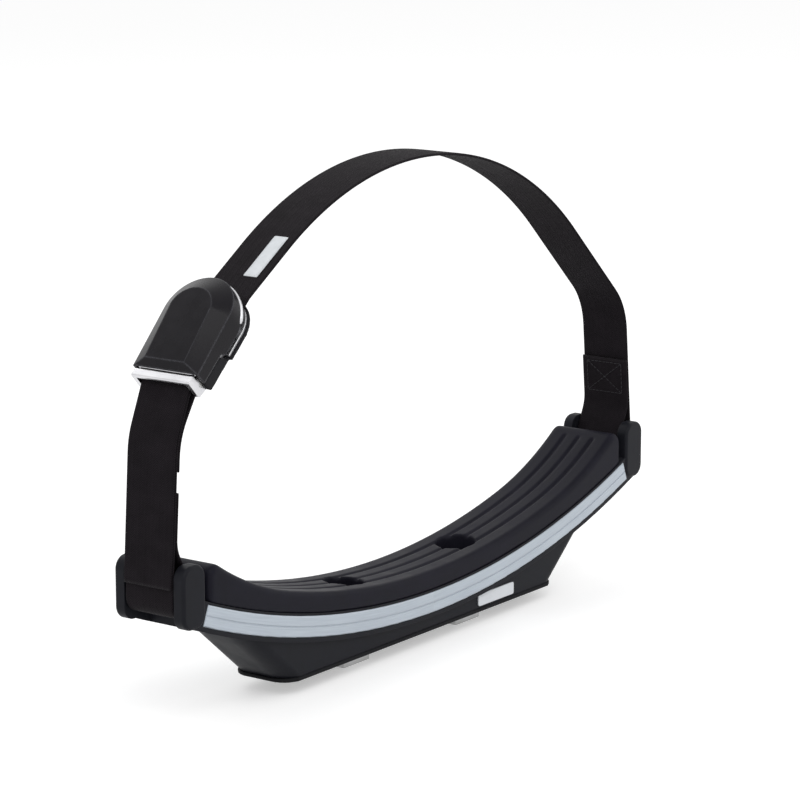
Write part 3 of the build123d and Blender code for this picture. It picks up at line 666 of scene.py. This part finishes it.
def new_material(name, **sockets):
    """A material, its node tree and its shader, with the shader's plain values set."""
    material = bpy.data.materials.new(name)
    material.use_nodes = True
    tree = material.node_tree
    shader = tree.nodes["Principled BSDF"]
    for key, value in sockets.items():
        shader.inputs[key.replace("_", " ")].default_value = value
    return material, tree, shader


def plug(tree, shader, **sockets):
    """Links values that vary over the surface to the shader."""
    for key, value in sockets.items():
        tree.links.new(value, shader.inputs[key.replace("_", " ")])


def between(tree, factor, low, high):
    """Colour between two by a factor, where each is a colour or the result of a node."""
    low, high = [(*end, 1) if isinstance(end, tuple) else end for end in (low, high)]
    return add(tree, "Mix", {"Factor": factor, "A": low, "B": high}, data_type="RGBA").outputs["Result"]


def spread(tree, value, low, high, from_low=0.3, from_high=0.7):
    """A value taken from one range, by default a noise's, to another."""
    sent = {"Value": value, "From Min": from_low, "From Max": from_high, "To Min": low, "To Max": high}
    return add(tree, "MapRange", sent).outputs["Result"]


def noise(tree, vector, scale, detail=3.0, rough=0.55):
    """Soft random values, their scale counted to a metre."""
    sent = {"Vector": vector, "Scale": scale, "Detail": detail, "Roughness": rough}
    return add(tree, "TexNoise", sent).outputs["Fac"]


def raised(tree, height, strength, depth, **normal):
    """Normal of a surface with small heights on it, with any normal that it starts from."""
    sent = {"Strength": strength, "Distance": depth * MM, "Height": height, **normal}
    return add(tree, "Bump", sent).outputs["Normal"]


def eased_edges(tree, radius, bluntest, sharpest):
    """Normal eased over edges, and a mask that is 1 on those that turn enough."""
    eased = add(tree, "Bevel", {"Radius": radius * MM}, samples=BEVEL_SAMPLES).outputs["Normal"]
    plain = add(tree, "NewGeometry").outputs["True Normal"]
    alike = add(tree, "VectorMath", {0: eased, 1: plain}, operation="DOT_PRODUCT").outputs["Value"]
    return eased, spread(tree, alike, 1.0, 0.0, sharpest, bluntest)


def moulded(name, dark, light, paler, rough, grain, depth, edge, wear_and_highlight_edges=USUAL_WEAR, **sockets):
    """Moulded or cast surface: blotchy colour, paler edges and a fine grain. The paler edges are wear on
    most surfaces and a painted highlight along the lever cover's ridges.
    """
    material, tree, shader = new_material(name, **sockets)
    place = add(tree, "TexCoord").outputs["Object"]
    blotch = noise(tree, place, BLOTCH_SCALE)
    fine = noise(tree, place, 1 / (grain * MM), FINE_DETAIL)
    eased, on_edge = eased_edges(tree, edge, *wear_and_highlight_edges)
    base = between(tree, spread(tree, blotch, 0.0, 1.0), dark, light)
    # Paler-edge mask: scuffs on most surfaces, and on the lever cover a painted highlight along the ridges
    # between its faces.
    scuff_and_highlight = calculate(tree, "MULTIPLY", on_edge, noise(tree, place, SCUFF_AND_HIGHLIGHT_SCALE))
    plug(
        tree, shader, Base_Color=between(tree, scuff_and_highlight, base, paler), Roughness=spread(tree, blotch, *rough),
        Normal=raised(tree, fine, GRAIN_STRENGTH, depth, Normal=eased))
    return material


def lined(name, dark, light, paler, rough, edge, **sockets):
    """Satin surface with faint lines along the saddle's arc."""
    material, tree, shader = new_material(name, **sockets)
    place = add(tree, "TexCoord").outputs["Object"]
    parts = add(tree, "SeparateXYZ", {"Vector": place}).outputs
    drop = calculate(tree, "SUBTRACT", parts["Z"], ARC_CENTRE_Z * MM)
    arm = add(tree, "CombineXYZ", {"X": parts["X"], "Z": drop}).outputs["Vector"]
    radius = add(tree, "VectorMath", {0: arm}, operation="LENGTH").outputs["Value"]
    swing = calculate(tree, "ARCTAN2", parts["X"], drop)
    along = calculate(tree, "MULTIPLY", swing, LINE_STRETCH)
    lines_at = add(tree, "CombineXYZ", {"X": radius, "Y": along}).outputs["Vector"]
    lines = noise(tree, lines_at, LINE_SCALE, FINE_DETAIL)
    blotch = noise(tree, place, TRIM_BLOTCH_SCALE)
    eased, on_edge = eased_edges(tree, edge, *USUAL_WEAR)
    base = between(tree, spread(tree, lines, 0.0, 1.0), dark, light)
    plug(
        tree, shader, Base_Color=between(tree, on_edge, base, paler), Roughness=spread(tree, blotch, *rough),
        Normal=raised(tree, lines, LINE_STRENGTH, LINE_DEPTH, Normal=eased))
    return material


def ribbed_weave(name, shaded_valley, lit_crest, rough, sealed_rough, **sockets):
    """Webbing: slanted yarns that change side at each rib, with painted shade in their valleys and a painted
    highlight on their crests, and cut ends sealed by heat.
    """
    material, tree, shader = new_material(name, **sockets)
    kept = add(tree, "Attribute", attribute_name="weave").outputs["Vector"]
    parts = add(tree, "SeparateXYZ", {"Vector": kept}).outputs
    rib = calculate(tree, "PINGPONG", parts["Y"], RIB_PITCH * MM)
    slanted = calculate(tree, "ADD", parts["X"], rib)
    yarn = calculate(tree, "MULTIPLY", slanted, 2 * pi / (YARN_PITCH * MM))
    wave = calculate(tree, "SINE", yarn)
    fuzz = noise(tree, kept, FUZZ_SCALE, FINE_DETAIL)
    height = calculate(tree, "MULTIPLY_ADD", fuzz, FUZZ_SHARE, wave)
    paler = spread(tree, noise(tree, kept, WEAR_SCALE), 0.0, 1.0)
    # Painted shade and light: each yarn is coloured darker in its valleys and lighter on its crests, by the
    # same wave as its bump. The patchy mix inside each colour pair is wear.
    low = between(tree, paler, *shaded_valley)
    high = between(tree, paler, *lit_crest)
    colour = between(tree, spread(tree, wave, 0.0, 1.0, -1.0, 1.0), low, high)
    sealed = spread(tree, parts["Z"], 1.0, 0.0, SEALED_FROM * MM, SEALED_TO * MM)
    plug(
        tree, shader, Base_Color=colour, Roughness=spread(tree, sealed, rough, sealed_rough, 0.0, 1.0),
        Normal=raised(tree, height, YARN_STRENGTH, YARN_DEPTH))
    return material


def plain_weave(name, dark, light, rough, pitch, **sockets):
    """Fine weave of threads that cross at right angles."""
    material, tree, shader = new_material(name, **sockets)
    kept = add(tree, "Attribute", attribute_name="weave").outputs["Vector"]
    turns = (2 * pi / (pitch * MM),) * 3
    scaled = add(tree, "VectorMath", {0: kept, 1: turns}, operation="MULTIPLY").outputs["Vector"]
    parts = add(tree, "SeparateXYZ", {"Vector": scaled}).outputs
    warp = calculate(tree, "SINE", parts["X"])
    weft = calculate(tree, "SINE", parts["Y"])
    cross = calculate(tree, "MULTIPLY", warp, weft)
    mottle = spread(tree, noise(tree, kept, MOTTLE_SCALE), 0.0, 1.0)
    plug(
        tree, shader, Base_Color=between(tree, mottle, dark, light),
        Roughness=spread(tree, cross, *rough, -1.0, 1.0),
        Normal=raised(tree, cross, CLOTH_STRENGTH, CLOTH_DEPTH))
    return material


black_moulding = moulded(
    "moulding_black",
    dark=(0.0074, 0.0078, 0.0108), light=(0.0122, 0.0128, 0.0170), paler=(0.027, 0.028, 0.033),
    rough=(0.42, 0.54), grain=0.7, depth=0.06, edge=0.6, Specular_IOR_Level=0.10)
pad_rubber = moulded(
    "pad_rubber",
    dark=(0.0080, 0.0078, 0.0126), light=(0.0130, 0.0126, 0.0196), paler=(0.019, 0.019, 0.027),
    rough=(0.42, 0.54), grain=0.9, depth=0.07, edge=0.4, Specular_IOR_Level=0.07)
gasket_rubber = moulded(
    "gasket_rubber",
    dark=(0.0080, 0.0080, 0.0092), light=(0.0140, 0.0140, 0.0158), paler=(0.022, 0.022, 0.024),
    rough=(0.62, 0.76), grain=0.6, depth=0.05, edge=0.3, Specular_IOR_Level=0.09)
boot_rubber = moulded(
    "boot_rubber",
    dark=(0.0078, 0.0076, 0.0094), light=(0.0125, 0.0122, 0.0148), paler=(0.022, 0.022, 0.025),
    rough=(0.48, 0.62), grain=0.6, depth=0.04, edge=0.4, Specular_IOR_Level=0.11)
# Lever cover: its pale edge colour on the shallow ridges between its faces is a painted highlight, not wear.
cover_black = moulded(
    "cover_black",
    dark=(0.0068, 0.0060, 0.0080), light=(0.0108, 0.0096, 0.0124), paler=(0.12, 0.12, 0.135),
    rough=(0.22, 0.34), grain=0.5, depth=0.02, edge=1.5, wear_and_highlight_edges=(0.995, 0.945), Specular_IOR_Level=0.12)
cast_metal = moulded(
    "cast_metal", dark=(0.58, 0.58, 0.60), light=(0.70, 0.70, 0.72), paler=(0.82, 0.82, 0.83),
    rough=(0.28, 0.38), grain=0.6, depth=0.03, edge=0.5, Metallic=1.0)
zinc_steel = moulded(
    "zinc_steel", dark=(0.46, 0.46, 0.45), light=(0.58, 0.58, 0.59), paler=(0.72, 0.72, 0.73),
    rough=(0.30, 0.46), grain=0.4, depth=0.02, edge=0.3, Metallic=1.0)
badge_white = moulded(
    "badge_white", dark=(0.70, 0.725, 0.76), light=(0.76, 0.785, 0.82), paler=(0.82, 0.84, 0.86),
    rough=(0.32, 0.42), grain=0.5, depth=0.02, edge=0.3, Specular_IOR_Level=0.4)
grey_trim = lined(
    "trim_satin", dark=(0.43, 0.485, 0.55), light=(0.51, 0.57, 0.635), paler=(0.60, 0.65, 0.71),
    rough=(0.30, 0.42), edge=0.4, Specular_IOR_Level=0.5, Coat_Weight=0.15, Coat_Roughness=0.25)
# Webbing colours: the valley pair is painted shade and the crest pair a painted highlight on the yarns.
black_webbing = ribbed_weave(
    "webbing_black",
    shaded_valley=((0.0045, 0.0038, 0.0046), (0.0070, 0.0058, 0.0072)),
    lit_crest=((0.0125, 0.0100, 0.0124), (0.0180, 0.0145, 0.0178)),
    rough=0.72, sealed_rough=0.30, Specular_IOR_Level=0.06, Sheen_Weight=0.012, Sheen_Roughness=0.4)
white_cloth = plain_weave(
    "label_white", dark=(0.66, 0.69, 0.72), light=(0.74, 0.77, 0.80), rough=(0.62, 0.78), pitch=0.7,
    Sheen_Weight=0.1, Specular_IOR_Level=0.3)
black_thread = moulded(
    "thread_black", dark=(0.019, 0.018, 0.021), light=(0.030, 0.028, 0.032), paler=(0.030, 0.028, 0.032),
    rough=(0.50, 0.64), grain=0.3, depth=0.03, edge=0.1, Specular_IOR_Level=0.18)
white_thread = moulded(
    "thread_white", dark=(0.62, 0.64, 0.66), light=(0.72, 0.74, 0.76), paler=(0.74, 0.76, 0.78),
    rough=(0.50, 0.64), grain=0.3, depth=0.03, edge=0.1, Specular_IOR_Level=0.3)

# Finishes of the solids that show as they are
finishes = {
    black_moulding: ("cradle", "foot"),
    grey_trim: ("front_trim", "rear_trim"),
    badge_white: ("badge",),
    zinc_steel: ("t_bolts", "t_bolt_washers", "t_bolt_nuts", "foot_screws", "anchor_pin", "cam_pin"),
    cast_metal: ("buckle_frame", "cam_lever"),
    cover_black: ("lever_cover",),
}
for material, names in finishes.items():
    for name in names:
        for place in nodes[name].material_slots:
            place.material = material

# Soft pieces
pad = softened("pad_moulding", "saddle_pad", pad_rubber, voxel=0.9, rounds=10, curved=True)
softened("buckle_boot", "buckle_pad", boot_rubber, voxel=0.6, rounds=5)
softened("gasket_sheet", "foot_gasket", gasket_rubber, voxel=0.8, rounds=4)

# Lever's rim and spring
nose_rim("lever_rim", cast_metal, "lever")
twisting("spring_wire", "cam_spring", zinc_steel)

# Straps and the stitching of their sewn ends
webbing("short_webbing", short_line, "short_strap", black_webbing)
webbing("long_webbing", long_line, "long_strap", black_webbing)
far_loop = long_line.run_after(far_load)[1] - LOOP_LENGTH
sewn_ends = {
    "near_stitches": (short_line, short_line.length, -STRAP_HALF),
    "anchor_stitches": (short_line, sewn_length, -STRAP_HALF),
    "far_inner_stitches": (long_line, long_line.length, STRAP_HALF),
    "far_outer_stitches": (long_line, far_loop, STRAP_HALF),
}
for name, (line, end, out) in sewn_ends.items():
    rows = box_and_cross(end - sewn_length + BOX_END, end - BOX_END, STRAP_WIDTH / 2 - BOX_MARGIN)
    stitching(name, line, rows, out, STRAP_STITCH, black_thread)

# Label, sewn on along its hem
label_start = long_line.run_after(ramp)[0] + LABEL_ALONG - LABEL_LENGTH / 2
label_tab("label_tab", long_line, "strap_label", label_start, white_cloth)
hem_start = label_start + LABEL_HEM
hem_end = label_start + LABEL_LENGTH - LABEL_HEM
hem_low = LABEL_MIDDLE - LABEL_WIDTH / 2 + LABEL_HEM
hem_high = LABEL_MIDDLE + LABEL_WIDTH / 2 - LABEL_HEM
hem = outline([(hem_start, hem_low), (hem_end, hem_low), (hem_end, hem_high), (hem_start, hem_high)])
label_top = STRAP_HALF + LABEL_GAP + LABEL_SEAM_RISE * LABEL_THICKNESS
stitching("label_stitches", long_line, hem, label_top, LABEL_STITCH, white_thread)


# Stage

def shown(tree, lighting, seen):
    """One strength for the light on the part, another for what the camera and reflections show."""
    rays = add(tree, "LightPath").outputs
    direct = calculate(tree, "ADD", rays["Is Camera Ray"], rays["Is Glossy Ray"])
    either = calculate(tree, "ADD", direct, rays["Is Transmission Ray"], use_clamp=True)
    return spread(tree, either, lighting, seen, 0.0, 1.0)


def floor_material():
    """Pale floor that keeps the part's shadow and otherwise shows white."""
    material = bpy.data.materials.new("floor_pale")
    material.use_nodes = True
    tree = material.node_tree
    tree.nodes.clear()
    pale = add(tree, "BsdfDiffuse", {"Color": FLOOR_COLOUR})
    light = add(tree, "Emission", {"Strength": shown(tree, 0.0, FLOOR_GLOW)})
    both = add(tree, "AddShader", {0: pale.outputs["BSDF"], 1: light.outputs["Emission"]})
    add(tree, "OutputMaterial", {"Surface": both.outputs["Shader"]})
    return material


def add_floor():
    """Wide floor just under the part."""
    level = cad_box[0][2] - FLOOR_DROP
    corners = [(x * FLOOR_HALF, y * FLOOR_HALF, level) for x, y in ((-1, -1), (1, -1), (1, 1), (-1, 1))]
    mesh = bpy.data.meshes.new("floor")
    mesh.from_pydata(corners, [], [(0, 1, 2, 3)])
    mesh.materials.append(floor_material())
    floor = bpy.data.objects.new("floor", mesh)
    scene.collection.objects.link(floor)


def sky():
    """Soft even light from all round, shown white."""
    world = bpy.data.worlds.new("studio")
    world.use_nodes = True
    tree = world.node_tree
    tree.nodes.clear()
    light = add(tree, "Background", {"Color": SKY_COLOUR, "Strength": shown(tree, SKY_LIGHT, SKY_SHOWN)})
    add(tree, "OutputWorld", {"Surface": light.outputs["Background"]})
    return world


def set_up(data, place, aim):
    """Puts a lamp or a camera at a place, pointed at another."""
    made = bpy.data.objects.new(data.name, data)
    scene.collection.objects.link(made)
    made.location = place
    made.rotation_mode = "QUATERNION"
    made.rotation_quaternion = (aim - Vector(place)).to_track_quat("-Z", "Y")
    return made


def add_lamp(name, place, aim, size, power):
    """Soft square lamp that points at a place."""
    data = bpy.data.lights.new(name, "AREA")
    data.size = size
    data.energy = power
    set_up(data, place, aim)


def add_camera(aim):
    """Camera at the photograph's viewing angle, with the part filling the frame."""
    data = bpy.data.cameras.new("camera")
    data.lens = LENS
    data.sensor_width = SENSOR
    back = Vector((sin(AZIMUTH) * cos(ELEVATION), -cos(AZIMUTH) * cos(ELEVATION), sin(ELEVATION)))
    scene.camera = set_up(data, aim + back * (FRAME_HEIGHT * LENS / SENSOR), aim)


aim = Vector(((cad_box[0][0] + cad_box[1][0]) / 2, 0.0, (cad_box[0][2] + cad_box[1][2]) / 2))
add_floor()
scene.world = sky()
for name, (place, size, power) in LAMPS.items():
    add_lamp(name, place, aim, size, power)
add_camera(aim)
scene.view_settings.view_transform = "Standard"
